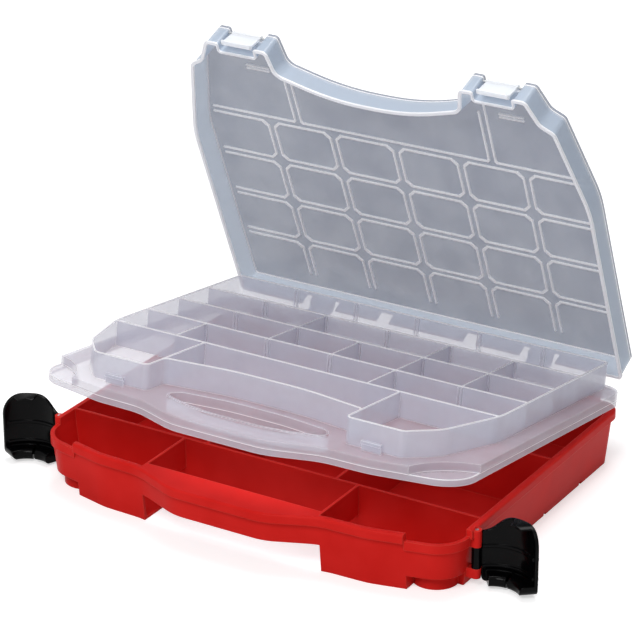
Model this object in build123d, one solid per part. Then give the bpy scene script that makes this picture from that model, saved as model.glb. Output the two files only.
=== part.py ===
"""Double-sided organizer box: red base, clear middle tray, clear lid, two corner latches.

Millimetres, +Z up, the base stands on z = 0 and +Y points to the hinges.
Places are given as (x, forward), where forward is the distance in front of the rear hinge line.
The tray and the lid are drawn closed, then turned about their hinges to the pose in which the box is shown.
"""
from build123d import *
import math
import os

os.makedirs("parts", exist_ok=True)

# Pose in which the box is shown, in degrees from closed
TRAY_OPEN = 8.45
LID_OPEN = 58.5
LATCH_OPEN_RIGHT = 130.0
LATCH_OPEN_LEFT = 115.0
CLIP_OPEN = 12.0

# Hinge line of the tray on the base, and the common outline of base rim and tray skirt
HINGE_Y = 185.0
BASE_HEIGHT = 58.0
HALF_WIDTH = 227.5
REAR_EDGE = 8.0
REAR_CORNER_R = 20.0
CORNER_FORWARD = 343.3
CORNER_R = 36.0
SHOULDER_X = 145.0
SHOULDER_FORWARD = 362.5
SHOULDER_R = 80.0
GRIP_FOOT_X = 98.0
GRIP_FOOT_FORWARD = 364.0
GRIP_TOP_X = 50.0
GRIP_TOP_FORWARD = 384.5
GRIP_R = 60.0

# Base shell
BASE_WALL = 2.5
RIM_DROP = 9.0
RIM_OUT = 3.5
RIM_ROUND = 2.5
BASE_DRAFT = 5.0
BASE_FRONT_WALL = 290.0
BASE_ROW_WALL = 150.0
BASE_COLUMN_X = 71.0
BIN_WALL_X = 95.0
GRIP_BAR_REAR = 352.0
GRIP_BAR_BOTTOM = 28.0
GRIP_RIB_STEP = 34.0
GRIP_EXTRA_WALL = 2.0
LOW_RIM_X = 179.0
LOW_RIM_DROP = 7.0
LOW_RIM_SET_BACK = 2.0
UNDERCUT_X = 179.0
UNDERCUT_HEIGHT = 14.0
UNDERCUT_R = 22.0
UNDERCUT_START_GAP = 2.0
FOOT_NOTCH_DEPTH = 3.0
FOOT_NOTCH_WIDTH = 4.0
FOOT_NOTCHES = (78.0, 152.0)

# Middle tray
TRAY_PLATE = 2.0
FLANGE_TOP = 14.5
FLANGE_ROUND = 1.2
SKIRT_GAP = 0.3
FLANGE_SIDE = 16.0
CELL_WALL = 1.6
CELL_TOP = 40.0
REAR_WALL_FORWARD = 14.0
CELL_REAR_R = 6.0
SIDE_BEND_FORWARD = 240.0
SIDE_BEND_R = 80.0
SHOULDER_CELL_X = 191.0
SHOULDER_SET_BACK = 29.0
SHOULDER_CELL_R = 50.0
FRONT_CELL_OUTER_X = 166.0
FRONT_CELL_FORWARD = 341.0
FRONT_CELL_R = 10.0
FRONT_CELL_INNER_X = 107.0
INNER_CORNER_R = 6.0
HOLLOW_SET_BACK = 29.5
HOLLOW_X = 40.0
HOLLOW_DIP = 11.5
HOLLOW_R = 220.0
FIRST_ROW_FORWARD = 77.0
ROW_STEP = 55.0
DIVIDER = 1.5
DIVIDER_GAP = 0.2
DIVIDER_END_GAP = 0.3
DIVIDER_TOP_GAP = 0.6
SLOT_RIB = 1.4
SLOT_RIB_DEPTH = 2.0

# Handle slot in the tray
SLOT_COLLAR = 2.0
SLOT_RIM = 1.2
SLOT_OUTLINE = [
    (30.0, 316.0, 150.0),
    (78.0, 323.5, 12.0),
    (87.0, 337.0, 6.0),
    (55.0, 349.5, 60.0),
    (25.0, 355.0, 80.0),
]

# Latch seat in the tray's front corners
SEAT_FLOOR = 5.0
SEAT_LIP = 6.5
SEAT_LIP_WIDTH = 1.4
SEAT_DIRECTION = 46.0
SEAT_CIRCLE_OUT = 78.0
SEAT_CIRCLE_R = 67.0

# Hinges between base, tray and lid
KNUCKLE_R = 4.0
HINGE_PIN_R = 1.5
PIN_GAP = 0.05
KNUCKLE_GAP = 0.4
TRAY_HINGE_INSET = 47.5
TRAY_KNUCKLE = 19.2
BASE_KNUCKLE = 10.0
LID_HINGE_INSET = 101.5
LID_HINGE_UP = 4.3
LID_KNUCKLE = 25.2
TRAY_LUG = 8.0
LID_ARM_FRONT_GAP = 1.5
LID_ARM = 3.0
LID_ARM_RISE = 6.0

# Lid
LID_SEAT_GAP = 0.5
LID_GAP = 1.5
LID_WALL = 2.0
LID_DRAFT = 0.8
LID_SIDE_OUT = 6.5
LID_BEND_FORWARD = 230.0
LID_BEND_R = 130.0
LID_SHOULDER_X = 196.0
LID_SHOULDER_SET_BACK = 20.0
LID_SHOULDER_R = 8.0
LID_HOLLOW_OUT = 3.5
LID_INNER = 41.0
LID_PLATE = 2.5
LID_LIP_OUT = 1.2
LID_LIP = 2.0
LID_HOLLOW_SLOPE = 5.0
RIB_OFF = 3.5
RIB_WIDTH = 1.8
RIB_DEPTH = 1.4
RIB_CHAMFER = 6.0
RIB_START = 30.0
RIB_END_GAP = 3.0
CLIP_RIB_HALF = 13.0
CLIP_RIB_SET_BACK = 33.0
BACK_GAP_NARROW_X = 50.0
BACK_GAP_NARROW = 15.0
BACK_GAP_WIDE = 40.0
BACK_GAP_HEIGHT = 13.0

# Lid clips and their keepers
CLIP_X = 138.0
CLIP_WIDTH = 32.0
CLIP_PLATE = 2.0
CLIP_BOTTOM = 16.0
CLIP_PIN_R = 1.2
CLIP_PIN_UP = 38.0
CLIP_PIN_OUT = 5.0
CLIP_BOSS_R = 2.8
EAR_GAP = 4.0
EAR_WIDTH = 13.5
EAR_OUT = 9.0
EAR_INNER_R = 3.0
EAR_OUTER_R = 5.0
EAR_ROOT_R = 2.0
EAR_OUTER_FLARE = 11.0
EAR_OUTER_FOOT = 12.0
EAR_INNER_FLARE = 5.0
EAR_INNER_FOOT = 19.0
EAR_FLARE_R = 12.0
KEEPER_WIDTH = 20.0
KEEPER_POST = 1.6
KEEPER_NOSE = 1.8
KEEPER_UNDER = 21.0
KEEPER_TOP = 24.0
KEEPER_GAP = 0.7
HOOK_GAP = 0.4
HOOK_HEIGHT = 2.6

# Corner latches, drawn closed round the right front corner
LATCH_PIN_OUT = 0.5
LATCH_PIN_BACK = 7.9
LATCH_PIN_R = 2.0
LATCH_KNUCKLE_R = 4.5
LATCH_KNUCKLE_LOW = 18.0
LATCH_KNUCKLE_HIGH = 39.0
LUG_GAP = 0.3
LUG_BOTTOM = 8.0
LUG_DROP = 2.0
LATCH_GAP = 1.5
LATCH_SHELL = 3.0
LATCH_BOTTOM = 2.5
LATCH_HINGE_DROP = 5.0
LATCH_SLOPE = 30.0
LATCH_START_GAP = 0.8
LATCH_START_ANGLE = -30.0
LATCH_END_ANGLE = 90.0
LATCH_TIP_TOP_R = 20.0
LATCH_TIP_LOW_R = 9.0
LATCH_HEEL_R = 5.0
HOOK_INNER_R = 28.0
LOW_HOOK_INNER_R = 24.0
TOP_HOOK_ANGLE = 40.0
LOW_HOOK_START_ANGLE = 3.0
LOW_HOOK_SPLIT_ANGLE = 38.0
LOW_HOOK_RESUME_ANGLE = 43.0
LOW_HOOK_ROUND = 4.5
HOOK_CLEARANCE = 0.3
TOP_HOOK_THICKNESS = 2.7
LOW_HOOK_CLEARANCE = 0.6
RIDGE = 1.5
RIDGE_WIDTH = 3.0
RIDGE_END = 6.0
RIDGE_HEIGHTS = (17.0, 37.0)
LATCH_ARM_REACH = 4.0

# Values worked out from the ones above
FRONT_SLANT = math.atan2(SHOULDER_FORWARD - CORNER_FORWARD, HALF_WIDTH - SHOULDER_X)
CORNER_X = HALF_WIDTH - CORNER_R
CORNER_MID = CORNER_FORWARD - CORNER_R * math.tan(math.pi / 4 - FRONT_SLANT / 2)
CELL_HALF = HALF_WIDTH - FLANGE_SIDE
COLUMN_STEP = CELL_HALF / 3
SHOULDER_CELL_FORWARD = FRONT_CELL_FORWARD - SHOULDER_SET_BACK
HOLLOW_SIDE_FORWARD = FRONT_CELL_FORWARD - HOLLOW_SET_BACK
HOLLOW_FORWARD = HOLLOW_SIDE_FORWARD - HOLLOW_DIP
TRAY_HINGE_X = HALF_WIDTH - TRAY_HINGE_INSET
LID_HINGE_X = HALF_WIDTH - LID_HINGE_INSET
LATCH_PIN_X = HALF_WIDTH + LATCH_PIN_OUT
LATCH_PIN_FORWARD = CORNER_MID - LATCH_PIN_BACK
LUG_TOP = BASE_HEIGHT - LUG_DROP
TOP_HOOK_LOW = BASE_HEIGHT + SEAT_LIP + HOOK_CLEARANCE
LATCH_TOP = TOP_HOOK_LOW + TOP_HOOK_THICKNESS
LATCH_TOP_AT_HINGE = BASE_HEIGHT - LATCH_HINGE_DROP
LID_SEAT = FLANGE_TOP + LID_SEAT_GAP
LID_TOP = LID_INNER + LID_PLATE
ROW_WALLS = [FIRST_ROW_FORWARD + ROW_STEP * i for i in range(4)]
COLUMNS = [COLUMN_STEP * i for i in range(-2, 3)]
LID_FRONT = FRONT_CELL_FORWARD + LID_GAP + LID_WALL
CLIP_PIN_FORWARD = LID_FRONT + CLIP_PIN_OUT
CLIP_PIN_REACH = CLIP_WIDTH / 2 + EAR_GAP + EAR_WIDTH / 2
KEEPER_POST_FRONT = LID_FRONT + KEEPER_GAP + KEEPER_POST
KEEPER_NOSE_FRONT = KEEPER_POST_FRONT + KEEPER_NOSE
OUTLINE = [
    (HALF_WIDTH, REAR_EDGE, REAR_CORNER_R),
    (HALF_WIDTH, CORNER_FORWARD, CORNER_R),
    (SHOULDER_X, SHOULDER_FORWARD, SHOULDER_R),
    (GRIP_FOOT_X, GRIP_FOOT_FORWARD, GRIP_R),
    (GRIP_TOP_X, GRIP_TOP_FORWARD, GRIP_R),
]
FAR = 2 * GRIP_TOP_FORWARD


def cell_outline(slope=0.0):
    """Right half of the outer face of the tray's compartments, its hollow front moved out by slope."""
    step_x = FRONT_CELL_INNER_X - CELL_WALL / 2
    return [
        (CELL_HALF, REAR_WALL_FORWARD, CELL_REAR_R),
        (CELL_HALF, SIDE_BEND_FORWARD, SIDE_BEND_R),
        (SHOULDER_CELL_X, SHOULDER_CELL_FORWARD, SHOULDER_CELL_R),
        (FRONT_CELL_OUTER_X, FRONT_CELL_FORWARD, FRONT_CELL_R),
        (step_x, FRONT_CELL_FORWARD, INNER_CORNER_R),
        (step_x, HOLLOW_SIDE_FORWARD + slope, INNER_CORNER_R),
        (HOLLOW_X, HOLLOW_FORWARD + slope, HOLLOW_R),
    ]


def plan_face(half, grow=0.0):
    """Face inside a mirrored outline of corners (x, forward, radius), grown or shrunk all round."""
    ring = half + [(-x, forward, r) for x, forward, r in reversed(half)]
    points = [(x, HINGE_Y - forward) for x, forward, r in ring]
    edges = FilletPolyline(*points, radius=[r for x, forward, r in ring], close=True).edges()
    face = make_face(edges)
    return offset(face, amount=grow) if grow else face


def slab(face, low, high):
    """Face raised into a plate between two heights."""
    return extrude(Pos(0, 0, low) * face, amount=high - low, dir=(0, 0, 1))


def rounded_slab(face, low, high, r):
    """Plate between two heights, its upper outer edge rounded."""
    plate = slab(face, low, high)
    return fillet(plate.edges().group_by(Axis.Z)[-1], r)


def block(x0, x1, near, far, low, high):
    """Box between two x, two forward distances and two heights."""
    middle = ((x0 + x1) / 2, HINGE_Y - (near + far) / 2, (low + high) / 2)
    return Pos(*middle) * Box(x1 - x0, far - near, high - low)


def post(x, forward, r, low, high):
    """Upright cylinder."""
    return Pos(x, HINGE_Y - forward, (low + high) / 2) * Cylinder(r, high - low)


def rod(x0, x1, forward, up, r):
    """Cylinder along X."""
    return Pos((x0 + x1) / 2, HINGE_Y - forward, up) * Rot(0, 90, 0) * Cylinder(r, x1 - x0)


def both_sides(solids):
    """Solids with their mirror images across the middle of the box."""
    return list(solids) + [s.mirror(Plane.YZ) for s in solids]


def side_profile(points, x0, x1):
    """Outline of (forward, height) corners raised along X."""
    corners = [(x0, HINGE_Y - forward, up) for forward, up in points]
    face = make_face(Polyline(*corners, close=True).edges())
    return extrude(face, amount=x1 - x0, dir=(1, 0, 0))


def corner_sector(r0, r1, start, end, low, high):
    """Ring piece round the middle of the right front corner, angles from +X towards the front."""
    ring = post(CORNER_X, CORNER_MID, r1, low, high) - post(CORNER_X, CORNER_MID, r0, low, high)
    reach = 2 * r1
    steps = [math.radians(a) for a in (start, (start + end) / 2, end)]
    rim = [(CORNER_X + reach * math.cos(a), CORNER_MID + reach * math.sin(a)) for a in steps]
    points = [(x, HINGE_Y - forward) for x, forward in [(CORNER_X, CORNER_MID)] + rim]
    return ring & slab(make_face(Polyline(*points, close=True).edges()), low, high)


def base_side(up):
    """Outer half width of the base wall at a height under the rim."""
    lean = BASE_DRAFT * (1 - up / (BASE_HEIGHT - RIM_DROP))
    return HALF_WIDTH - RIM_OUT - lean


def undercut(grow):
    """Space under the right front corner for the latch's lower hook, grown by a wall."""
    near = LATCH_PIN_FORWARD + LATCH_KNUCKLE_R + UNDERCUT_START_GAP - grow
    top = UNDERCUT_HEIGHT + grow
    low_corner = block(UNDERCUT_X - grow, FAR, near, FAR, -1, top)
    return low_corner - post(CORNER_X, CORNER_MID, UNDERCUT_R - grow, -2, top + 1)


def base_cavity():
    """Space inside the base wall: six cells behind the front wall and a bin in each front corner."""
    top = BASE_HEIGHT + 1
    shelf = BASE_HEIGHT - RIM_DROP
    upper = slab(plan_face(OUTLINE, -RIM_OUT - BASE_WALL), shelf, top)
    mouth = Pos(0, 0, shelf) * plan_face(OUTLINE, -RIM_OUT - BASE_WALL)
    floor = Pos(0, 0, BASE_WALL) * plan_face(OUTLINE, -RIM_OUT - BASE_WALL - BASE_DRAFT)
    inside = upper + loft([floor, mouth], ruled=True)
    half = BASE_WALL / 2
    rows = [(0.0, BASE_ROW_WALL - half), (BASE_ROW_WALL + half, BASE_FRONT_WALL - BASE_WALL)]
    edges = [-FAR, -BASE_COLUMN_X, BASE_COLUMN_X, FAR]
    cells = [
        block(edges[i] + half, edges[i + 1] - half, near, far, BASE_WALL, top)
        for near, far in rows
        for i in range(3)
    ]
    bins = [
        block(BIN_WALL_X + half, FAR, BASE_FRONT_WALL, FAR, BASE_WALL, top) - undercut(BASE_WALL)
    ]
    return inside & (Part() + cells + both_sides(bins))


def base_shell():
    """Drafted wall under a rim, cut away under the grip bar and the front corners."""
    shelf = BASE_HEIGHT - RIM_DROP
    foot = plan_face(OUTLINE, -RIM_OUT - BASE_DRAFT)
    mouth = Pos(0, 0, shelf) * plan_face(OUTLINE, -RIM_OUT)
    rim = rounded_slab(plan_face(OUTLINE), shelf, BASE_HEIGHT, RIM_ROUND)
    shell = loft([foot, mouth], ruled=True) + rim
    inner = BIN_WALL_X - BASE_WALL / 2
    outer = BIN_WALL_X + BASE_WALL / 2
    under_bar = block(-outer, outer, BASE_FRONT_WALL, FAR, -1, GRIP_BAR_BOTTOM)
    hand_hole = block(-inner, inner, BASE_FRONT_WALL, GRIP_BAR_REAR, -1, BASE_HEIGHT + 1)
    shell = shell - under_bar - hand_hole - both_sides([undercut(0.0)]) - base_cavity()
    return shell - grip_hollow() - low_corner_cuts() - foot_notches()


def grip_hollow():
    """Hollow of the grip bar, open below, with stiffening ribs left across it."""
    inner = BIN_WALL_X - BASE_WALL / 2
    low = GRIP_BAR_BOTTOM - 1
    high = BASE_HEIGHT - BASE_WALL
    inside = slab(plan_face(OUTLINE, -RIM_OUT - BASE_WALL - GRIP_EXTRA_WALL), low, high)
    pocket = inside & block(-inner, inner, GRIP_BAR_REAR + BASE_WALL, FAR, low, high)
    count = int(GRIP_TOP_X // GRIP_RIB_STEP)
    ribs = [
        block(x - 1, x + 1, GRIP_BAR_REAR, FAR, GRIP_BAR_BOTTOM, BASE_HEIGHT)
        for x in [GRIP_RIB_STEP * i for i in range(-count, count + 1)]
    ]
    return pocket - ribs


def low_corner_cuts():
    """Top of the rim taken down at the front corners, and set back a little."""
    level = BASE_HEIGHT - LOW_RIM_DROP
    zone = block(LOW_RIM_X, FAR, CORNER_MID, FAR, BASE_HEIGHT - LOW_RIM_DROP - RIM_DROP, BASE_HEIGHT + 1)
    edge = zone - slab(plan_face(OUTLINE, -LOW_RIM_SET_BACK), 0, BASE_HEIGHT + 2)
    top = block(LOW_RIM_X, FAR, CORNER_MID, FAR, level, BASE_HEIGHT + 1)
    return both_sides([edge, top])


def low_corner_rims():
    """Rounded rim that runs on at the lower level round each front corner."""
    level = BASE_HEIGHT - LOW_RIM_DROP
    plate = rounded_slab(plan_face(OUTLINE, -LOW_RIM_SET_BACK), level - RIM_DROP, level, RIM_ROUND)
    ring = plate - slab(plan_face(OUTLINE, -RIM_OUT - BASE_WALL), level - RIM_DROP, level)
    zone = block(LOW_RIM_X, FAR, CORNER_MID, FAR, level - RIM_DROP, level)
    return both_sides([ring & zone])


def foot_notches():
    """Shallow notches in the lower edge of each side."""
    notches = [
        block(base_side(0) - FOOT_NOTCH_DEPTH / 2, FAR, f, f + FOOT_NOTCH_WIDTH, -1, FOOT_NOTCH_DEPTH)
        for f in FOOT_NOTCHES
    ]
    return both_sides(notches)


def latch_lug(low, high):
    """Lug on the right side wall that holds the end of the latch pin."""
    start = base_side(min(low, BASE_HEIGHT - RIM_DROP)) - BASE_WALL / 2
    near = LATCH_PIN_FORWARD - LATCH_KNUCKLE_R
    far = LATCH_PIN_FORWARD + LATCH_KNUCKLE_R
    arm = block(start, LATCH_PIN_X, near, far, low, high)
    return arm + post(LATCH_PIN_X, LATCH_PIN_FORWARD, LATCH_KNUCKLE_R, low, high)


def base_hinge_knuckles():
    """Two knuckles each side at the rear rim for the tray hinge pins."""
    knuckles = []
    inner = TRAY_KNUCKLE / 2 + KNUCKLE_GAP
    for x0 in (TRAY_HINGE_X - inner - BASE_KNUCKLE, TRAY_HINGE_X + inner):
        x1 = x0 + BASE_KNUCKLE
        arm = block(x0, x1, 0, REAR_EDGE + RIM_OUT, BASE_HEIGHT - KNUCKLE_R, BASE_HEIGHT)
        barrel = arm + rod(x0, x1, 0, BASE_HEIGHT, KNUCKLE_R)
        knuckles.append(barrel - rod(x0 - 1, x1 + 1, 0, BASE_HEIGHT, HINGE_PIN_R + PIN_GAP))
    return both_sides(knuckles)


def make_base():
    lower = latch_lug(LUG_BOTTOM, LATCH_KNUCKLE_LOW - LUG_GAP)
    upper = latch_lug(LATCH_KNUCKLE_HIGH + LUG_GAP, LUG_TOP)
    bore = post(LATCH_PIN_X, LATCH_PIN_FORWARD, LATCH_PIN_R + PIN_GAP, 0, FAR)
    base = base_shell() + low_corner_rims() + both_sides([lower, upper]) + base_hinge_knuckles()
    return base - both_sides([bore])


def seat_circle(grow, low, high):
    """Round cutter that bounds the latch seat at the tray's right front corner."""
    x = CORNER_X + SEAT_CIRCLE_OUT * math.cos(math.radians(SEAT_DIRECTION))
    forward = CORNER_MID + SEAT_CIRCLE_OUT * math.sin(math.radians(SEAT_DIRECTION))
    return post(x, forward, SEAT_CIRCLE_R + grow, low, high)


def tray_flange():
    """Flat plate and skirt, with the lowered latch seats at the front corners."""
    skirt_face = plan_face(OUTLINE) - plan_face(OUTLINE, -TRAY_PLATE)
    flange = rounded_slab(plan_face(OUTLINE), FLANGE_TOP - TRAY_PLATE, FLANGE_TOP, FLANGE_ROUND)
    flange = flange + slab(skirt_face, SKIRT_GAP, FLANGE_TOP - FLANGE_ROUND)
    above = FLANGE_TOP + 1
    pocket = slab(plan_face(OUTLINE, -SEAT_LIP_WIDTH), SEAT_FLOOR, above) & seat_circle(0, SEAT_FLOOR, above)
    above_lip = seat_circle(0, SEAT_LIP, above)
    filling = slab(plan_face(OUTLINE, -TRAY_PLATE / 2), SEAT_FLOOR - TRAY_PLATE, FLANGE_TOP)
    seat = filling & seat_circle(TRAY_PLATE, SEAT_FLOOR - TRAY_PLATE, FLANGE_TOP)
    flange = flange + both_sides([seat])
    return flange - both_sides([pocket, above_lip])


def compartment_walls():
    """Outer wall, four row walls and the two fixed walls of the front row."""
    outer = plan_face(cell_outline())
    low, high = FLANGE_TOP - TRAY_PLATE / 2, CELL_TOP
    half = CELL_WALL / 2
    rows = [block(-FAR, FAR, f - half, f + half, low, high) for f in ROW_WALLS]
    x0, x1 = FRONT_CELL_INNER_X - half, FRONT_CELL_INNER_X + half
    front = block(x0, x1, ROW_WALLS[3], FRONT_CELL_FORWARD, low, high)
    inside = slab(outer, low, high) & (Part() + rows + both_sides([front]))
    return slab(outer - plan_face(cell_outline(), -CELL_WALL), low, high) + inside


def slot_ribs():
    """Pairs of upright ribs on the row walls that hold the removable dividers."""
    half = CELL_WALL / 2
    rear = REAR_WALL_FORWARD + CELL_WALL
    faces = [(rear, 1)]
    for f in ROW_WALLS[:3]:
        faces += [(f - half, -1), (f + half, 1)]
    faces.append((ROW_WALLS[3] - half, -1))
    ribs = []
    for x in COLUMNS:
        for forward, way in faces:
            near, far = sorted((forward - way * half / 2, forward + way * SLOT_RIB_DEPTH))
            for side in (-1, 1):
                middle = x + side * (DIVIDER / 2 + DIVIDER_GAP + SLOT_RIB / 2)
                x0, x1 = middle - SLOT_RIB / 2, middle + SLOT_RIB / 2
                ribs.append(block(x0, x1, near, far, FLANGE_TOP - 1, CELL_TOP - 1))
    return ribs


def tray_hinge_parts():
    """Knuckles on the base hinge line and lugs for the lid hinge, behind the flange."""
    x0, x1 = TRAY_HINGE_X - TRAY_KNUCKLE / 2, TRAY_HINGE_X + TRAY_KNUCKLE / 2
    arm = block(x0, x1, 0, REAR_EDGE + TRAY_PLATE / 2, SKIRT_GAP, KNUCKLE_R)
    knuckle = arm + rod(x0, x1, 0, 0, KNUCKLE_R)
    parts = [knuckle - rod(x0 - 1, x1 + 1, 0, 0, HINGE_PIN_R + PIN_GAP)]
    inner = LID_KNUCKLE / 2 + KNUCKLE_GAP
    for x0 in (LID_HINGE_X - inner - TRAY_LUG, LID_HINGE_X + inner):
        x1 = x0 + TRAY_LUG
        low, high = LID_HINGE_UP - KNUCKLE_R, LID_HINGE_UP + KNUCKLE_R
        arm = block(x0, x1, 0, REAR_EDGE + TRAY_PLATE / 2, low, high)
        lug = arm + rod(x0, x1, 0, LID_HINGE_UP, KNUCKLE_R)
        parts.append(lug - rod(x0 - 1, x1 + 1, 0, LID_HINGE_UP, HINGE_PIN_R + PIN_GAP))
    return both_sides(parts)


def keepers():
    """Posts with a nose on the flange, one for each lid clip."""
    x0, x1 = CLIP_X - KEEPER_WIDTH / 2, CLIP_X + KEEPER_WIDTH / 2
    rear = LID_FRONT + KEEPER_GAP
    stem = block(x0, x1, rear, KEEPER_POST_FRONT, FLANGE_TOP - TRAY_PLATE / 2, KEEPER_TOP)
    nose = block(x0, x1, rear, KEEPER_NOSE_FRONT, KEEPER_UNDER, KEEPER_TOP)
    return both_sides([stem + nose])


def make_tray():
    slot = plan_face(SLOT_OUTLINE)
    collar = slab(plan_face(SLOT_OUTLINE, SLOT_COLLAR), SKIRT_GAP, FLANGE_TOP + SLOT_RIM)
    tray = tray_flange() + compartment_walls() + slot_ribs() + collar + tray_hinge_parts() + keepers()
    return tray - slab(slot, -1, FAR)


def lid_outline(slope=0.0):
    """Right half of the lid's outer face: side, shoulder, the two ears beside the clip, hollow front."""
    ear_front = LID_FRONT + EAR_OUT
    inner = CLIP_X - CLIP_WIDTH / 2 - EAR_GAP
    outer = CLIP_X + CLIP_WIDTH / 2 + EAR_GAP
    side = CELL_HALF + LID_SIDE_OUT
    back = REAR_WALL_FORWARD - LID_GAP - LID_WALL
    outer_foot = outer + EAR_WIDTH + EAR_OUTER_FLARE
    inner_foot = inner - EAR_WIDTH - EAR_INNER_FLARE
    return [
        (side, back, CELL_REAR_R),
        (side, LID_BEND_FORWARD, LID_BEND_R),
        (LID_SHOULDER_X, FRONT_CELL_FORWARD - LID_SHOULDER_SET_BACK, LID_SHOULDER_R),
        (outer_foot, FRONT_CELL_FORWARD - EAR_OUTER_FOOT, EAR_FLARE_R),
        (outer + EAR_WIDTH, ear_front, EAR_OUTER_R),
        (outer, ear_front, EAR_INNER_R),
        (outer, LID_FRONT, EAR_ROOT_R),
        (inner, LID_FRONT, EAR_ROOT_R),
        (inner, ear_front, EAR_INNER_R),
        (inner - EAR_WIDTH, ear_front, EAR_OUTER_R),
        (inner_foot, FRONT_CELL_FORWARD - EAR_INNER_FOOT + slope, EAR_FLARE_R),
        (HOLLOW_X, HOLLOW_FORWARD + LID_HOLLOW_OUT + slope, HOLLOW_R),
    ]


def lid_body(grow, high):
    """Tapered body of the lid from its rim up to a height, its hollow front leaning out towards the rim."""
    rim = Pos(0, 0, LID_SEAT) * plan_face(lid_outline(LID_HOLLOW_SLOPE), grow)
    top = Pos(0, 0, high) * plan_face(lid_outline(), grow - LID_DRAFT)
    return loft([rim, top], ruled=True)


def cell_loop(x0, x1, near, far, chamfer):
    """Flat band just inside a cell, its corners cut off."""
    bands = []
    for inset in (RIB_OFF - RIB_WIDTH / 2, RIB_OFF + RIB_WIDTH / 2):
        a, b, c, d = x0 + inset, x1 - inset, near + inset, far - inset
        k = chamfer
        corners = [(a + k, c), (b - k, c), (b, c + k), (b, d - k)]
        corners += [(b - k, d), (a + k, d), (a, d - k), (a, c + k)]
        points = [(x, HINGE_Y - forward) for x, forward in corners]
        bands.append(make_face(Polyline(*points, close=True).edges()))
    return bands[0] - bands[1]


def lid_ribs():
    """Low ribs under the lid that frame each compartment, and a short pair under each clip."""
    edges = [-FAR] + COLUMNS + [FAR]
    starts = [-FAR] + ROW_WALLS[:3]
    loops = [
        cell_loop(edges[i], edges[i + 1], near, near_wall, RIB_CHAMFER)
        for near, near_wall in zip(starts, ROW_WALLS)
        for i in range(6)
    ]
    front = [-FAR, -FRONT_CELL_INNER_X, FRONT_CELL_INNER_X, FAR]
    loops += [cell_loop(front[i], front[i + 1], ROW_WALLS[3], 2 * FAR, RIB_WIDTH) for i in range(3)]
    low = LID_INNER - RIB_DEPTH
    high = LID_INNER + LID_PLATE / 2
    space = slab(plan_face(cell_outline(), -RIB_END_GAP), low, high)
    space = space - block(-FAR, FAR, -FAR, RIB_START, 0, FAR)
    bands = [slab(loop, low, high) & space for loop in loops]
    middle = FRONT_CELL_FORWARD - CLIP_RIB_SET_BACK
    ends = (CLIP_X - CLIP_RIB_HALF, CLIP_X + CLIP_RIB_HALF)
    half = RIB_WIDTH / 2
    pair = [block(*ends, f - half, f + half, low, high) for f in (middle - RIB_WIDTH, middle + RIB_WIDTH)]
    return bands + both_sides(pair)


def clip_pin_hole():
    """Bore through the walls of the ears for the right clip pin."""
    ends = (CLIP_X - CLIP_PIN_REACH, CLIP_X + CLIP_PIN_REACH)
    return rod(*ends, CLIP_PIN_FORWARD, CLIP_PIN_UP, CLIP_PIN_R + PIN_GAP)


def lid_arms():
    """Arms that reach down behind the tray's flange to the lid hinge."""
    x0, x1 = LID_HINGE_X - LID_KNUCKLE / 2, LID_HINGE_X + LID_KNUCKLE / 2
    front = REAR_EDGE - LID_ARM_FRONT_GAP
    wall = REAR_WALL_FORWARD - LID_GAP
    top = LID_INNER - BACK_GAP_HEIGHT + LID_ARM_RISE
    profile = [
        (front - LID_ARM, LID_HINGE_UP),
        (front, LID_HINGE_UP),
        (front, LID_SEAT + LID_ARM_RISE / 2),
        (wall, LID_SEAT + LID_ARM_RISE),
        (wall, top),
        (front - LID_ARM, LID_SEAT + LID_ARM_RISE),
    ]
    arm = side_profile(profile, x0, x1) + rod(x0, x1, 0, LID_HINGE_UP, KNUCKLE_R)
    arm = arm + block(x0, x1, 0, front, LID_HINGE_UP - KNUCKLE_R * 0.6, LID_HINGE_UP + KNUCKLE_R * 0.6)
    return both_sides([arm - rod(x0 - 1, x1 + 1, 0, LID_HINGE_UP, HINGE_PIN_R + PIN_GAP)])


def back_wall_gaps():
    """Openings in the lower edge of the lid's rear wall: wide at the hinges, narrow nearer the middle."""
    top = LID_INNER - BACK_GAP_HEIGHT
    rear = REAR_WALL_FORWARD + CELL_REAR_R
    wide = block(LID_HINGE_X - BACK_GAP_WIDE / 2, LID_HINGE_X + BACK_GAP_WIDE / 2, 0, rear, 0, top)
    narrow_x = BACK_GAP_NARROW_X
    narrow = block(narrow_x - BACK_GAP_NARROW / 2, narrow_x + BACK_GAP_NARROW / 2, 0, rear, 0, top)
    return both_sides([wide, narrow])


def lid_lip():
    """Thin lip round the rim, left out at the clips and behind the rear wall."""
    outline = lid_outline(LID_HOLLOW_SLOPE)
    ring = plan_face(outline, LID_LIP_OUT) - plan_face(outline, -LID_WALL)
    top = LID_SEAT + LID_LIP + 1
    clear = CLIP_WIDTH / 2 + EAR_GAP
    clip_room = block(CLIP_X - clear, CLIP_X + clear, LID_FRONT, FAR, 0, top)
    rear_room = block(-FAR, FAR, -FAR, REAR_WALL_FORWARD - LID_GAP - LID_WALL, 0, top)
    return slab(ring, LID_SEAT, LID_SEAT + LID_LIP) - both_sides([clip_room]) - rear_room


def make_lid():
    shell = lid_body(0, LID_TOP) - lid_body(-LID_WALL, LID_INNER)
    lid = shell + lid_lip() + lid_ribs()
    lid = lid - back_wall_gaps() - both_sides([clip_pin_hole()])
    return lid + lid_arms()


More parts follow.
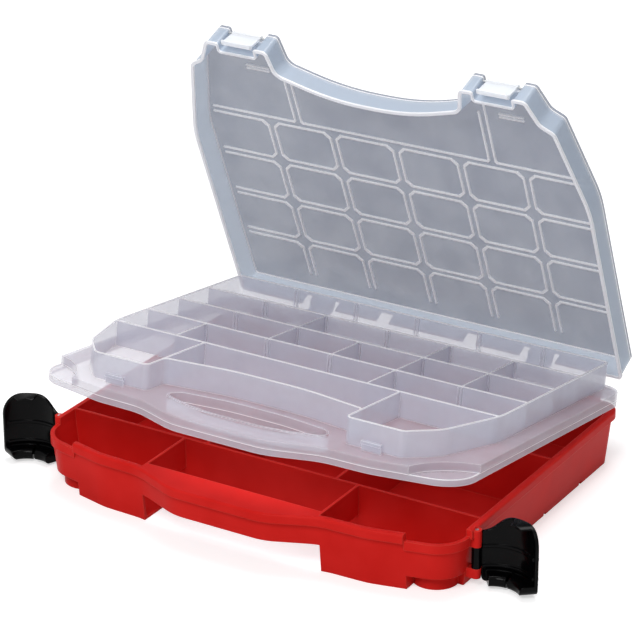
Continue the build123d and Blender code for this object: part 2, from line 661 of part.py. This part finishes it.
def make_clip():
    """Right lid clip, drawn hooked under its keeper."""
    x0, x1 = CLIP_X - CLIP_WIDTH / 2, CLIP_X + CLIP_WIDTH / 2
    rear = KEEPER_NOSE_FRONT + HOOK_GAP
    plate = block(x0, x1, rear, rear + CLIP_PLATE, CLIP_BOTTOM, CLIP_PIN_UP)
    boss = rod(x0, x1, CLIP_PIN_FORWARD, CLIP_PIN_UP, CLIP_BOSS_R)
    hook_top = KEEPER_UNDER - HOOK_GAP
    hook = block(x0, x1, KEEPER_POST_FRONT + HOOK_GAP, rear + CLIP_PLATE, hook_top - HOOK_HEIGHT, hook_top)
    lip = block(x0, x1, rear, rear + CLIP_PLATE + 2, CLIP_BOTTOM, CLIP_BOTTOM + 2)
    clip = plate + boss + hook + lip
    return clip - rod(x0 - 1, x1 + 1, CLIP_PIN_FORWARD, CLIP_PIN_UP, CLIP_PIN_R + PIN_GAP)


def tip_rounding(up, r, way):
    """Cutter that rounds the latch's free end; way is 1 for its upper and -1 for its lower corner."""
    low, high = sorted((up - way * r, up + way))
    corner = block(CORNER_X - 1, CORNER_X + r, CORNER_MID, FAR, low, high)
    middle = Pos(CORNER_X + r, HINGE_Y - FAR / 2, up - way * r)
    return corner - middle * Rot(90, 0, 0) * Cylinder(r, FAR)


def heel_rounding(start):
    """Cutter that rounds the latch's lower corner beside its hinge."""
    up = LATCH_BOTTOM
    corner = block(CORNER_X, FAR, start - 1, start + LATCH_HEEL_R, up - 1, up + LATCH_HEEL_R)
    return corner - rod(CORNER_X - 1, FAR, start + LATCH_HEEL_R, up + LATCH_HEEL_R, LATCH_HEEL_R)


def above_latch(start):
    """Space over the latch: its upper edge swings up from the hinge to the hook."""
    end = start + LATCH_SLOPE
    near = (-FAR, HINGE_Y - start, LATCH_TOP_AT_HINGE)
    far = (-FAR, HINGE_Y - end, LATCH_TOP)
    swing = Spline(near, far, tangents=[(0, -1, 0), (0, -1, 0)])
    rest = [
        far,
        (-FAR, HINGE_Y - end, FAR),
        (-FAR, HINGE_Y, FAR),
        (-FAR, HINGE_Y, LATCH_TOP_AT_HINGE),
        near,
    ]
    return extrude(make_face(swing.edges() + Polyline(*rest).edges()), amount=2 * FAR, dir=(1, 0, 0))


def low_hook(start_angle, end_angle):
    """One lobe of the hook under the base's corner, its inner edges rounded."""
    high = UNDERCUT_HEIGHT - LOW_HOOK_CLEARANCE
    outer = CORNER_R + LATCH_GAP + LATCH_SHELL / 2
    lobe = corner_sector(LOW_HOOK_INNER_R, outer, start_angle, end_angle, LATCH_BOTTOM, high)
    inner = lobe.edges().filter_by(GeomType.CIRCLE).sort_by(lambda e: e.radius)[:2]
    return fillet(inner, LOW_HOOK_ROUND)


def make_latch():
    """Right corner latch, drawn closed: curved shell with an upper and a lower hook."""
    r0 = CORNER_R + LATCH_GAP
    r1 = r0 + LATCH_SHELL
    end = LATCH_END_ANGLE
    start = LATCH_PIN_FORWARD + LATCH_KNUCKLE_R + LATCH_START_GAP
    latch = corner_sector(r0, r1, LATCH_START_ANGLE, end, LATCH_BOTTOM, LATCH_TOP)
    for up in RIDGE_HEIGHTS:
        high = up + RIDGE_WIDTH
        latch = latch + corner_sector(r0 - RIDGE, r1 + RIDGE, LATCH_START_ANGLE, end - RIDGE_END, up, high)
    hook_outer = r0 + LATCH_SHELL / 2
    latch = latch + corner_sector(HOOK_INNER_R, hook_outer, TOP_HOOK_ANGLE, end, TOP_HOOK_LOW, LATCH_TOP)
    latch = latch - above_latch(start) - block(-FAR, FAR, 0, start, 0, FAR)
    latch = latch + low_hook(LOW_HOOK_START_ANGLE, LOW_HOOK_SPLIT_ANGLE) + low_hook(LOW_HOOK_RESUME_ANGLE, end)
    upper = tip_rounding(LATCH_TOP, LATCH_TIP_TOP_R, 1)
    lower = tip_rounding(LATCH_BOTTOM, LATCH_TIP_LOW_R, -1)
    return latch - upper - lower - heel_rounding(start) + latch_knuckle(r0, start)


def latch_knuckle(r0, start):
    """Barrel on the latch pin and the arm that joins it to the shell."""
    low, high = LATCH_KNUCKLE_LOW, LATCH_KNUCKLE_HIGH
    barrel = post(LATCH_PIN_X, LATCH_PIN_FORWARD, LATCH_KNUCKLE_R, low, high)
    inner = CORNER_X + r0 + 0.5
    outer = LATCH_PIN_X + LATCH_KNUCKLE_R
    corners = [
        (inner, LATCH_PIN_FORWARD + 2),
        (LATCH_PIN_X, LATCH_PIN_FORWARD),
        (outer, LATCH_PIN_FORWARD),
        (inner + LATCH_SHELL, start + LATCH_ARM_REACH),
        (inner, start + LATCH_ARM_REACH),
    ]
    points = [(x, HINGE_Y - forward) for x, forward in corners]
    arm = slab(make_face(Polyline(*points, close=True).edges()), low, high)
    hole = post(LATCH_PIN_X, LATCH_PIN_FORWARD, LATCH_PIN_R + PIN_GAP, low - 1, high + 1)
    return barrel + arm - hole


def make_divider(column, row):
    """Removable divider in one of the rows, standing on the tray's floor."""
    half = CELL_WALL / 2
    near = ROW_WALLS[row] + half + DIVIDER_END_GAP
    far = ROW_WALLS[row + 1] - half - DIVIDER_END_GAP
    x = COLUMNS[column]
    return block(x - DIVIDER / 2, x + DIVIDER / 2, near, far, FLANGE_TOP, CELL_TOP - DIVIDER_TOP_GAP)


def place_tray(part):
    """From the tray's own heights to the shown pose."""
    return (Pos(0, 0, BASE_HEIGHT) * part).rotate(Axis((0, HINGE_Y, BASE_HEIGHT), (1, 0, 0)), -TRAY_OPEN)


def place_lid(part):
    """From the closed lid to the shown pose."""
    return place_tray(part.rotate(Axis((0, HINGE_Y, LID_HINGE_UP), (1, 0, 0)), -LID_OPEN))


def place_clip(part):
    """From the hooked clip to the shown pose."""
    axis = Axis((0, HINGE_Y - CLIP_PIN_FORWARD, CLIP_PIN_UP), (1, 0, 0))
    return place_lid(part.rotate(axis, -CLIP_OPEN))


def place_latch(part, angle, side):
    """From the closed latch to the shown pose; side is 1 on the right and -1 on the left."""
    axis = Axis((side * LATCH_PIN_X, HINGE_Y - LATCH_PIN_FORWARD, 0), (0, 0, 1))
    return part.rotate(axis, side * angle)


def write(part, name):
    """One file a piece, as its solids."""
    solids = part.solids()
    export_step(solids[0] if len(solids) == 1 else Compound(children=solids), f"parts/{name}.step")


def mirrored(part, side):
    return part if side > 0 else part.mirror(Plane.YZ)


def main():
    write(make_base(), "base_tray")
    write(place_tray(make_tray()), "middle_tray")
    write(place_lid(make_lid()), "top_lid")
    tray_pin = rod(
        TRAY_HINGE_X - TRAY_KNUCKLE / 2 - KNUCKLE_GAP - BASE_KNUCKLE,
        TRAY_HINGE_X + TRAY_KNUCKLE / 2 + KNUCKLE_GAP + BASE_KNUCKLE,
        0,
        BASE_HEIGHT,
        HINGE_PIN_R,
    )
    lid_pin = rod(
        LID_HINGE_X - LID_KNUCKLE / 2 - KNUCKLE_GAP - TRAY_LUG,
        LID_HINGE_X + LID_KNUCKLE / 2 + KNUCKLE_GAP + TRAY_LUG,
        0,
        LID_HINGE_UP,
        HINGE_PIN_R,
    )
    clip_ends = (CLIP_X - CLIP_PIN_REACH, CLIP_X + CLIP_PIN_REACH)
    clip_pin = rod(*clip_ends, CLIP_PIN_FORWARD, CLIP_PIN_UP, CLIP_PIN_R)
    latch_pin = post(LATCH_PIN_X, LATCH_PIN_FORWARD, LATCH_PIN_R, LUG_BOTTOM, LUG_TOP)
    for side, word, latch_angle in ((1, "right", LATCH_OPEN_RIGHT), (-1, "left", LATCH_OPEN_LEFT)):
        write(mirrored(tray_pin, side), f"tray_hinge_pin_{word}")
        write(place_tray(mirrored(lid_pin, side)), f"lid_hinge_pin_{word}")
        write(place_lid(mirrored(clip_pin, side)), f"clip_pin_{word}")
        write(place_clip(mirrored(make_clip(), side)), f"lid_clip_{word}")
        write(mirrored(latch_pin, side), f"latch_pin_{word}")
        write(place_latch(mirrored(make_latch(), side), latch_angle, side), f"corner_latch_{word}")
    dividers = {"b": (0, (1, 3, 4)), "c": (1, (1, 2, 3, 4)), "d": (2, (0, 3))}
    for letter, (row, columns) in dividers.items():
        for column in columns:
            write(place_tray(make_divider(column, row)), f"tray_divider_{letter}{column + 1}")


main()
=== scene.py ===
"""Double-sided organizer box in red, clear and black plastic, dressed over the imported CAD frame."""

import math

import bpy
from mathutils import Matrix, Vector

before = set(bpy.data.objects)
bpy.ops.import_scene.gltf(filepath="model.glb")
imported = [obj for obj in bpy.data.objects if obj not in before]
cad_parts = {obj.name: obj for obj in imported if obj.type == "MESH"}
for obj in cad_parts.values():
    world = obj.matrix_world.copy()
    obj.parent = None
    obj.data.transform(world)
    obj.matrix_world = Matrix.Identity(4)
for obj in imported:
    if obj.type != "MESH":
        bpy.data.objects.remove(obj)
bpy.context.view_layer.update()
MM = 0.001

# Camera of the photograph: place in metres, turn and tilt in degrees, long lens and sensor in millimetres,
# and the nearest and farthest that it sees in metres
CAMERA_PLACE = (1.291, -2.151, 1.257)
CAMERA_TURN = 31.14
CAMERA_DOWN = 23.58
CAMERA_LENS = 163.05
SENSOR = 36.0
CAMERA_NEAR = 0.1
CAMERA_FAR = 50.0

# Light: strength of the white room, and two square lamps by place and side in metres and power in watts
ROOM_LIGHT = 0.31
LAMP_AIM = (0, 0, 0.1)
KEY_PLACE = (0.15, -1.6, 1.7)
KEY_SIDE = 0.8
KEY_LIGHT = 22.0
TOP_PLACE = (-0.1, 0.5, 2.3)
TOP_SIDE = 1.1
TOP_LIGHT = 30.0

# Floor: half its side in metres, its paint, and how far it is lifted to white near the box and far from it,
# with the distances in metres between which the lift grows
FLOOR_HALF = 8.0
FLOOR_PAINT = 0.75
FLOOR_LIFT = 0.54
FAR_FLOOR_LIFT = 0.82
FLOOR_NEAR = 0.9
FLOOR_FAR = 2.4

# How far tray and lid stand open, in degrees, and their hinge lines (back, up) in metres
TRAY_OPEN = 8.45
LID_OPEN = 58.5
TRAY_HINGE = (0.185, 0.058)
LID_HINGE = (0.185632, 0.062253)

# Heights in millimetres above a piece's own hinge line, measured square to its plate: bands of wall tops,
# lips, ribs and rim that carry a painted white glow, and the lid's side wall
WALL_TOPS = (39.1, 40.5)
FLANGE_LIP = (6.0, 6.6)
LID_RIBS = (35.1, 36.5)
LID_RIM = (10.5, 12.7)
LID_WALL = (-20.0, 35.0)

# Clear plastic: colour and share of the light held back at a face, by part of the moulding; the first is a
# painted glow on edges and ribs, and the lid's plate and walls carry painted shade and painted light
PAINTED_EDGE_GLOW = ("FDFDFF", 0.94)
TRAY_MILK = ("DEDFEA", 0.46)
# lid plate: painted shade, a darker blue-grey than the tray's milk
LID_MILK_AND_SHADE = ("868FA2", 0.62)
# lid side walls: painted light, a paler tone than the plate
LID_WALL_MILK_AND_LIGHT = ("CAD6E4", 0.65)
CLIP_MILK = ("FAFCFF", 0.75)
MILK_UNEVEN = 0.03
MILK_GLOW = 0.35
PLASTIC_IOR = 1.49

# Noise values between which a mottled tone goes from one end to the other
NOISE_STOPS = (0.30, 0.70)

# Rounding that shading gives to sharp edges, in millimetres, and how strongly the painted highlight along
# an edge shows
RED_EDGE = 1.2
RED_HIGHLIGHT_STRENGTH = 2.5
CLEAR_EDGE = 0.9
CLEAR_HIGHLIGHT_STRENGTH = 6.0
BLACK_EDGE = 1.6

# Light may pass this many clear faces: lid, tray walls and dividers stand one behind the other
CLEAR_FACES = 48


def linear(code):
    """sRGB hex text to the linear red, green, blue and alpha that nodes take.

    Dark values are divided by 12.92; the others have 0.055 added, are divided by 1.055 and raised to 2.4.
    """
    parts = [int(code[i : i + 2], 16) / 255 for i in (0, 2, 4)]
    return [p / 12.92 if p <= 0.04045 else ((p + 0.055) / 1.055) ** 2.4 for p in parts] + [1.0]


def grey(value):
    """Plain value as a tone."""
    return [value, value, value, 1.0]


def add(tree, kind, links=(), **settings):
    """Adds a node; links are (socket, output) pairs.

    Settings are socket values by name, with _ for a space, or else attributes of the node.
    """
    node = tree.nodes.new(kind)
    for name, value in settings.items():
        label = name.replace("_", " ")
        if label in node.inputs:
            node.inputs[label].default_value = value
        else:
            setattr(node, name, value)
    for socket, output in links:
        tree.links.new(output, node.inputs[socket])
    return node


def maths(tree, operation, *values, **settings):
    """Result of one operation on values, each a plain number or another node's output."""
    node = add(tree, "ShaderNodeMath", operation=operation, **settings)
    for socket, value in zip(node.inputs, values):
        if isinstance(value, float):
            socket.default_value = value
        else:
            tree.links.new(value, socket)
    return node.outputs[0]


def new_material(name):
    """Empty node material with its output; returns (material, tree, output)."""
    material = bpy.data.materials.new(name)
    material.use_nodes = True
    tree = material.node_tree
    tree.nodes.clear()
    return material, tree, add(tree, "ShaderNodeOutputMaterial")


def ramp(tree, value, low, high):
    """Blend between two tones as noise goes from one stop to the other."""
    node = add(tree, "ShaderNodeValToRGB", [("Fac", value)])
    for element, place, tone in zip(node.color_ramp.elements, NOISE_STOPS, (low, high)):
        element.position = place
        element.color = tone
    return node.outputs[0]


def mix_tone(tree, factor, one, other):
    """Blend of two tones (colour list or output) by factor."""
    node = add(tree, "ShaderNodeMix", [("Factor", factor)], data_type="RGBA")
    for socket, tone in (("A", one), ("B", other)):
        if isinstance(tone, list):
            node.inputs[socket].default_value = tone
        else:
            tree.links.new(tone, node.inputs[socket])
    return node.outputs["Result"]


def painted_highlight_mask(tree, radius_mm, strength):
    """Mask for a painted highlight along sharp edges, and the normal rounded over them.

    The mask is one less the dot product of the rounded and the true normal, times the strength, up to one.
    """
    rounded = add(tree, "ShaderNodeBevel", samples=6, Radius=radius_mm * MM).outputs[0]
    true = add(tree, "ShaderNodeNewGeometry").outputs["Normal"]
    lean = add(tree, "ShaderNodeVectorMath", [(0, rounded), (1, true)], operation="DOT_PRODUCT")
    away = maths(tree, "SUBTRACT", 1.0, lean.outputs["Value"])
    return maths(tree, "MULTIPLY", away, strength, use_clamp=True), rounded


def noise(tree, size_mm, detail):
    """Noise whose patches are about size_mm across, on the piece's own coordinates."""
    place = add(tree, "ShaderNodeTexCoord").outputs["Object"]
    scale = 1.0 / (size_mm * MM)
    return add(tree, "ShaderNodeTexNoise", [("Vector", place)], Scale=scale, Detail=detail).outputs["Fac"]


def bumped(tree, height, normal, strength, depth_mm):
    """Normal with a relief of the given depth laid over it."""
    links = [("Height", height), ("Normal", normal)]
    return add(tree, "ShaderNodeBump", links, Strength=strength, Distance=depth_mm * MM).outputs[0]


def plate_height(tree, hinge, lean):
    """Height over a tilted plate's hinge line, square to the plate; lean in degrees.

    It is the dot product of the way from the hinge line and the plate's own upward direction.
    """
    place = add(tree, "ShaderNodeTexCoord").outputs["Object"]
    arm = add(tree, "ShaderNodeVectorMath", [(0, place)], operation="SUBTRACT")
    arm.inputs[1].default_value = (0.0, hinge[0], hinge[1])
    height = add(tree, "ShaderNodeVectorMath", [(0, arm.outputs["Vector"])], operation="DOT_PRODUCT")
    height.inputs[1].default_value = (0.0, math.sin(math.radians(lean)), math.cos(math.radians(lean)))
    return height.outputs["Value"]


def in_bands(tree, height, bands):
    """One where the height lies in any of the bands, in millimetres."""
    total = None
    for low, high in bands:
        inside = maths(tree, "COMPARE", height, (low + high) / 2 * MM, (high - low) / 2 * MM)
        total = inside if total is None else maths(tree, "MAXIMUM", total, inside)
    return total


def moulded_red():
    """Injection-moulded polypropylene, pigmented red: satin, faintly uneven gloss, fine eroded grain; a
    lighter red is painted along sharp edges as a highlight.
    """
    material, tree, out = new_material("moulded_red_polypropylene")
    grain = noise(tree, 0.9, 3.0)
    flow = noise(tree, 45.0, 2.0)
    edge_highlight, rounded = painted_highlight_mask(tree, RED_EDGE, RED_HIGHLIGHT_STRENGTH)
    pigment = ramp(tree, flow, linear("D0201C"), linear("DA2824"))
    # painted highlight: lighter red along sharp edges and the rounded rim
    tone = mix_tone(tree, edge_highlight, pigment, linear("EE5A4C"))
    gloss = ramp(tree, flow, grey(0.30), grey(0.38))
    normal = bumped(tree, grain, rounded, 0.10, 0.15)
    links = [("Base Color", tone), ("Roughness", gloss), ("Normal", normal)]
    skin = add(tree, "ShaderNodeBsdfPrincipled", links, IOR=PLASTIC_IOR, Specular_IOR_Level=0.03)
    tree.links.new(skin.outputs[0], out.inputs[0])
    return material


def frosted_clear(name, body, bands=None, wall=None):
    """Natural polypropylene, milky and half clear: light shines through it; edges and ribs carry a painted
    white glow.

    body is (hex colour, share of light held back at a face); bands is (hinge, lean, bands painted with the
    white glow);
    wall is (hex colour, share held back, band of heights) of a piece's thin side wall, painted lighter than
    the body as light, and needs bands.
    """
    material, tree, out = new_material(name)
    edge_highlight, rounded = painted_highlight_mask(tree, CLEAR_EDGE, CLEAR_HIGHLIGHT_STRENGTH)
    colour = linear(body[0])
    mist = noise(tree, 30.0, 3.0)
    solid = ramp(tree, mist, grey(body[1] - MILK_UNEVEN), grey(body[1] + MILK_UNEVEN))
    if bands is not None:
        height = plate_height(tree, bands[0], bands[1])
        edge_highlight = maths(tree, "MAXIMUM", edge_highlight, in_bands(tree, height, bands[2]))
    if wall is not None:
        # painted light and shade: the side wall band takes its own lighter tone against the plate
        side = in_bands(tree, height, [wall[2]])
        colour = mix_tone(tree, side, colour, linear(wall[0]))
        solid = mix_tone(tree, side, solid, grey(wall[1]))
    # painted glow: edges, wall tops, lips and ribs turn white and more solid
    colour = mix_tone(tree, edge_highlight, colour, linear(PAINTED_EDGE_GLOW[0]))
    solid = mix_tone(tree, edge_highlight, solid, grey(PAINTED_EDGE_GLOW[1]))
    links = [("Base Color", colour), ("Normal", rounded)]
    skin = add(tree, "ShaderNodeBsdfPrincipled", links, Roughness=0.28, IOR=PLASTIC_IOR)
    glow = add(tree, "ShaderNodeBsdfTranslucent", [("Color", colour)])
    milk = add(tree, "ShaderNodeMixShader", [(1, skin.outputs[0]), (2, glow.outputs[0])], Fac=MILK_GLOW)
    clear = add(tree, "ShaderNodeBsdfTransparent")
    whole = add(tree, "ShaderNodeMixShader", [("Fac", solid), (1, clear.outputs[0]), (2, milk.outputs[0])])
    tree.links.new(whole.outputs[0], out.inputs[0])
    return material


def gloss_black():
    """Black acetal, polished mould: deep and glossy with soft broad highlights."""
    material, tree, out = new_material("gloss_black_acetal")
    waves = noise(tree, 14.0, 1.0)
    rounded = add(tree, "ShaderNodeBevel", samples=8, Radius=BLACK_EDGE * MM).outputs[0]
    normal = bumped(tree, waves, rounded, 0.08, 0.6)
    gloss = ramp(tree, waves, grey(0.14), grey(0.19))
    links = [("Roughness", gloss), ("Normal", normal)]
    look = {"Base_Color": linear("040405"), "IOR": 1.48, "Specular_IOR_Level": 0.07}
    skin = add(tree, "ShaderNodeBsdfPrincipled", links, **look)
    tree.links.new(skin.outputs[0], out.inputs[0])
    return material


def drawn_steel():
    """Drawn steel wire: bright, its gloss broken by fine specks."""
    material, tree, out = new_material("drawn_steel_wire")
    marks = noise(tree, 0.6, 2.0)
    links = [("Roughness", ramp(tree, marks, grey(0.25), grey(0.40)))]
    skin = add(tree, "ShaderNodeBsdfPrincipled", links, Base_Color=linear("B9BBBD"), Metallic=1.0)
    tree.links.new(skin.outputs[0], out.inputs[0])
    return material


def seen_straight(tree):
    """One for rays from the camera, and for what gloss and clear plastic show of the background."""
    path = add(tree, "ShaderNodeLightPath").outputs
    seen = maths(tree, "MAXIMUM", path["Is Camera Ray"], path["Is Glossy Ray"])
    return maths(tree, "MAXIMUM", seen, path["Is Transmission Ray"])


def seamless_floor():
    """Studio sweep painted light grey, lifted to white for the camera where no shadow falls.

    The lift grows with the distance from the box, as the lamps reach less far.
    """
    material, tree, out = new_material("studio_floor")
    paint = add(tree, "ShaderNodeBsdfDiffuse", Color=grey(FLOOR_PAINT))
    place = add(tree, "ShaderNodeTexCoord").outputs["Object"]
    reach = add(tree, "ShaderNodeVectorMath", [(0, place)], operation="LENGTH").outputs["Value"]
    ends = {"From_Min": FLOOR_NEAR, "From_Max": FLOOR_FAR, "To_Min": FLOOR_LIFT, "To_Max": FAR_FLOOR_LIFT}
    share = add(tree, "ShaderNodeMapRange", [("Value", reach)], **ends).outputs[0]
    strength = maths(tree, "MULTIPLY", seen_straight(tree), share)
    lift = add(tree, "ShaderNodeEmission", [("Strength", strength)], Color=grey(1.0))
    both = add(tree, "ShaderNodeAddShader", [(0, paint.outputs[0]), (1, lift.outputs[0])])
    tree.links.new(both.outputs[0], out.inputs[0])
    return material


def make_floor():
    """Large flat square under the box."""
    corners = [(-1, -1), (1, -1), (1, 1), (-1, 1)]
    mesh = bpy.data.meshes.new("studio_floor")
    mesh.from_pydata([(x * FLOOR_HALF, y * FLOOR_HALF, 0) for x, y in corners], [], [(0, 1, 2, 3)])
    floor = bpy.data.objects.new("studio_floor", mesh)
    bpy.context.scene.collection.objects.link(floor)
    mesh.materials.append(seamless_floor())


def make_camera():
    """The photograph's viewpoint: held level, above the box and to its right, looking down on it."""
    data = bpy.data.cameras.new("camera")
    data.lens, data.sensor_width = CAMERA_LENS, SENSOR
    data.clip_start, data.clip_end = CAMERA_NEAR, CAMERA_FAR
    camera = bpy.data.objects.new("camera", data)
    camera.location = CAMERA_PLACE
    camera.rotation_euler = (math.radians(90.0 - CAMERA_DOWN), 0.0, math.radians(CAMERA_TURN))
    bpy.context.scene.collection.objects.link(camera)
    bpy.context.scene.camera = camera


def area_light(name, place, side, power):
    """Square soft lamp at place, turned to the box."""
    data = bpy.data.lights.new(name, "AREA")
    data.shape, data.size, data.energy = "SQUARE", side, power
    lamp = bpy.data.objects.new(name, data)
    lamp.location = place
    lamp.rotation_euler = (Vector(LAMP_AIM) - Vector(place)).to_track_quat("-Z", "Y").to_euler()
    bpy.context.scene.collection.objects.link(lamp)


def make_light():
    """Even white room, a soft key lamp high in front and a larger one over the box."""
    world = bpy.data.worlds.new("studio")
    world.use_nodes = True
    tree = world.node_tree
    tree.nodes.clear()
    out = add(tree, "ShaderNodeOutputWorld")
    room = add(tree, "ShaderNodeBackground", Color=grey(1.0), Strength=ROOM_LIGHT)
    backdrop = add(tree, "ShaderNodeBackground", Color=grey(1.0), Strength=1.0)
    links = [("Fac", seen_straight(tree)), (1, room.outputs[0]), (2, backdrop.outputs[0])]
    both = add(tree, "ShaderNodeMixShader", links)
    tree.links.new(both.outputs[0], out.inputs[0])
    bpy.context.scene.world = world
    area_light("key", KEY_PLACE, KEY_SIDE, KEY_LIGHT)
    area_light("top", TOP_PLACE, TOP_SIDE, TOP_LIGHT)


def dress_frame():
    """Materials of the CAD nodes, by the start of the piece's name; what is left are steel pins."""
    tray_glow_bands = (TRAY_HINGE, TRAY_OPEN, [WALL_TOPS, FLANGE_LIP])
    lid_glow_bands = (LID_HINGE, TRAY_OPEN + LID_OPEN, [LID_RIBS, LID_RIM])
    tray = frosted_clear("frosted_tray_polypropylene", TRAY_MILK, tray_glow_bands)
    lid_wall_light = (*LID_WALL_MILK_AND_LIGHT, LID_WALL)
    finish = {
        "base_tray": moulded_red(),
        "middle_tray": tray,
        "tray_divider": tray,
        "top_lid": frosted_clear("frosted_lid_polypropylene", LID_MILK_AND_SHADE, lid_glow_bands, lid_wall_light),
        "lid_clip": frosted_clear("frosted_clip_polypropylene", CLIP_MILK),
        "corner_latch": gloss_black(),
    }
    steel = drawn_steel()
    for name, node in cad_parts.items():
        material = next((m for start, m in finish.items() if name.startswith(start)), steel)
        node.data.materials.clear()
        node.data.materials.append(material)


scene = bpy.context.scene
scene.view_settings.view_transform = "Standard"
scene.cycles.transparent_max_bounces = CLEAR_FACES
make_camera()
make_floor()
make_light()
dress_frame()
